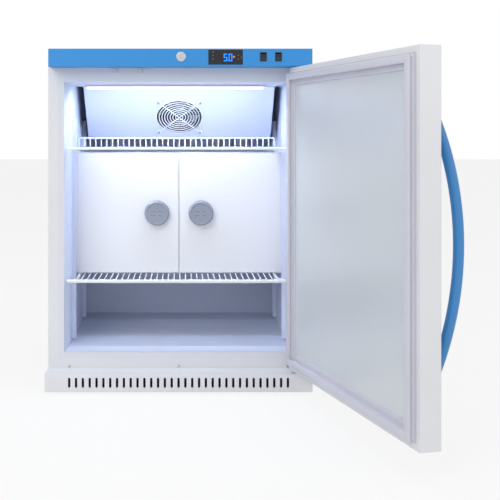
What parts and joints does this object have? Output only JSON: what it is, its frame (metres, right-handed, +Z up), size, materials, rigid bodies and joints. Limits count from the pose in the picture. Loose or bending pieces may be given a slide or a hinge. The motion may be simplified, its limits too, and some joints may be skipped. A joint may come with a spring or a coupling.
{
  "type": "breast milk refrigerator",
  "caption": "Undercounter refrigerator for breast milk with a hinged door, bowed handle, inner locker compartments, wire shelves, cooling fan and control strip; door stands open.",
  "frame": {"origin": "on the floor, at the centre of the cabinet's footprint without the door, control strip and kick plate in front of it", "axes": "+Z up, +X to the right seen from the front, +Y from the front to the back"},
  "size_m": [0.7946, 1.1552, 0.772],
  "materials": {
    "white_enamel": "satin",
    "zinc_sheet": "satin",
    "white_coated_wire": "gloss",
    "cold_wall_enamel": "satin",
    "blue_handle_paint": "gloss",
    "black_can_paint": "satin",
    "blue_fascia_plastic": "satin",
    "worktop_laminate": "satin",
    "liner_plastic": "satin",
    "door_panel_plastic": "gloss",
    "locker_plastic": "satin",
    "grey_knob_plastic": "satin",
    "light_lens_plastic": "gloss",
    "black_plastic": "satin",
    "dark_window_plastic": "gloss",
    "board_plastic": "matte",
    "pale_plastic": "satin",
    "gasket_rubber": "satin",
    "black_rubber": "matte",
    "insulation": "matte",
    "bright_metal": "polished",
    "fin_aluminium": "satin",
    "copper_pipe": "satin"
  },
  "bodies": {
    "cabinet": {"side_panel_left": "white_enamel", "side_panel_right": "white_enamel", "back_panel": "zinc_sheet", "worktop": "worktop_laminate", "base_pan": "zinc_sheet", "rear_feet": "black_rubber", "foam_insulation": "insulation", "front_frame": "white_enamel", "breaker_frame": "pale_plastic", "inner_liner": "liner_plastic", "door_switch_housings": "pale_plastic", "fascia": "blue_fascia_plastic", "display_window": "dark_window_plastic", "display_board": "board_plastic", "rocker_bezels": "black_plastic", "lock_barrel": "bright_metal", "kick_plate": "white_enamel", "hinge_bracket_lower": "white_enamel", "hinge_bracket_upper": "zinc_sheet", "hinge_pins": "bright_metal", "light_bar_housing": "pale_plastic", "light_bar_lens": "light_lens_plastic", "evaporator_cover": "cold_wall_enamel", "evaporator_fan_frame": "black_plastic", "fan_guard": "white_coated_wire", "cabinet_screws": "bright_metal", "drip_tray": "pale_plastic", "evaporator_coil": "fin_aluminium", "shelf_standards": "white_coated_wire", "shelf_clips": "white_coated_wire", "lower_shelf": "white_coated_wire", "upper_shelf": "white_coated_wire", "locker_box": "locker_plastic", "compressor": "black_can_paint", "compressor_grommets": "black_rubber", "condenser_coil": "black_can_paint", "condenser_fan_frame": "black_plastic", "refrigerant_pipe": "copper_pipe", "rear_cover": "zinc_sheet", "power_inlet": "black_plastic"},
    "main_door": {"door_skin": "white_enamel", "door_foam": "insulation", "door_inner_panel": "door_panel_plastic", "door_gasket": "gasket_rubber", "door_handle": "blue_handle_paint", "handle_screws": "bright_metal", "hinge_bushings": "pale_plastic"},
    "left_locker_door": {"locker_door_left": "locker_plastic"},
    "right_locker_door": {"locker_door_right": "locker_plastic"},
    "left_knob": {"locker_knob_left": "grey_knob_plastic"},
    "right_knob": {"locker_knob_right": "grey_knob_plastic"},
    "lock_plug": {"lock_plug": "bright_metal"},
    "power_rocker": {"rocker_power": "black_plastic"},
    "alarm_rocker": {"rocker_alarm": "black_plastic"},
    "evaporator_fan": {"evaporator_fan_rotor": "black_plastic"},
    "condenser_fan": {"condenser_fan_rotor": "black_plastic"},
    "left_plunger": {"switch_plunger_left": "pale_plastic"},
    "right_plunger": {"switch_plunger_right": "pale_plastic"},
    "left_foot": {"foot_front_left": "black_plastic"},
    "right_foot": {"foot_front_right": "black_plastic"}
  },
  "joints": [
    {"name": "main_door_hinge", "type": "hinge", "parent": "cabinet", "child": "main_door", "pos_m": [0.2792, -0.314, 0.389], "axis": [0, 0, 1], "range_deg": [-105, 15]},
    {"name": "left_locker_hinge", "type": "hinge", "parent": "cabinet", "child": "left_locker_door", "pos_m": [-0.2443, -0.155, 0.3901], "axis": [0, 0, -1], "range_deg": [0, 75]},
    {"name": "right_locker_hinge", "type": "hinge", "parent": "cabinet", "child": "right_locker_door", "pos_m": [0.2443, -0.155, 0.3901], "axis": [0, 0, 1], "range_deg": [0, 75]},
    {"name": "left_knob_turn", "type": "hinge", "parent": "left_locker_door", "child": "left_knob", "pos_m": [-0.053, -0.162, 0.3901], "axis": [0, 1, 0], "range_deg": [0, 90]},
    {"name": "right_knob_turn", "type": "hinge", "parent": "right_locker_door", "child": "right_knob", "pos_m": [0.053, -0.162, 0.3901], "axis": [0, -1, 0], "range_deg": [0, 90]},
    {"name": "lock_turn", "type": "hinge", "parent": "cabinet", "child": "lock_plug", "pos_m": [0.0057, -0.331, 0.7536], "axis": [0, 1, 0], "range_deg": [0, 90]},
    {"name": "power_rocker_tilt", "type": "hinge", "parent": "cabinet", "child": "power_rocker", "pos_m": [0.1899, -0.325, 0.7534], "axis": [-1, 0, 0], "range_deg": [0, 14]},
    {"name": "alarm_rocker_tilt", "type": "hinge", "parent": "cabinet", "child": "alarm_rocker", "pos_m": [0.2237, -0.325, 0.7534], "axis": [-1, 0, 0], "range_deg": [0, 14]},
    {"name": "evaporator_fan_spin", "type": "hinge", "parent": "cabinet", "child": "evaporator_fan", "pos_m": [0, -0.049, 0.624], "axis": [0, -0.7071, -0.7071], "continuous": true},
    {"name": "condenser_fan_spin", "type": "hinge", "parent": "cabinet", "child": "condenser_fan", "pos_m": [0.06, 0.217, 0.0505], "axis": [-1, 0, 0], "continuous": true},
    {"name": "left_plunger_push", "type": "slide", "parent": "cabinet", "child": "left_plunger", "axis": [0, 1, 0], "range_m": [0, 0.006], "stiffness_N_per_m": 300},
    {"name": "right_plunger_push", "type": "slide", "parent": "cabinet", "child": "right_plunger", "axis": [0, 1, 0], "range_m": [0, 0.006], "stiffness_N_per_m": 300},
    {"name": "left_foot_screw", "type": "slide", "parent": "cabinet", "child": "left_foot", "axis": [0, 0, -1], "range_m": [0, 0.015]},
    {"name": "right_foot_screw", "type": "slide", "parent": "cabinet", "child": "right_foot", "axis": [0, 0, -1], "range_m": [0, 0.015]}
  ]
}
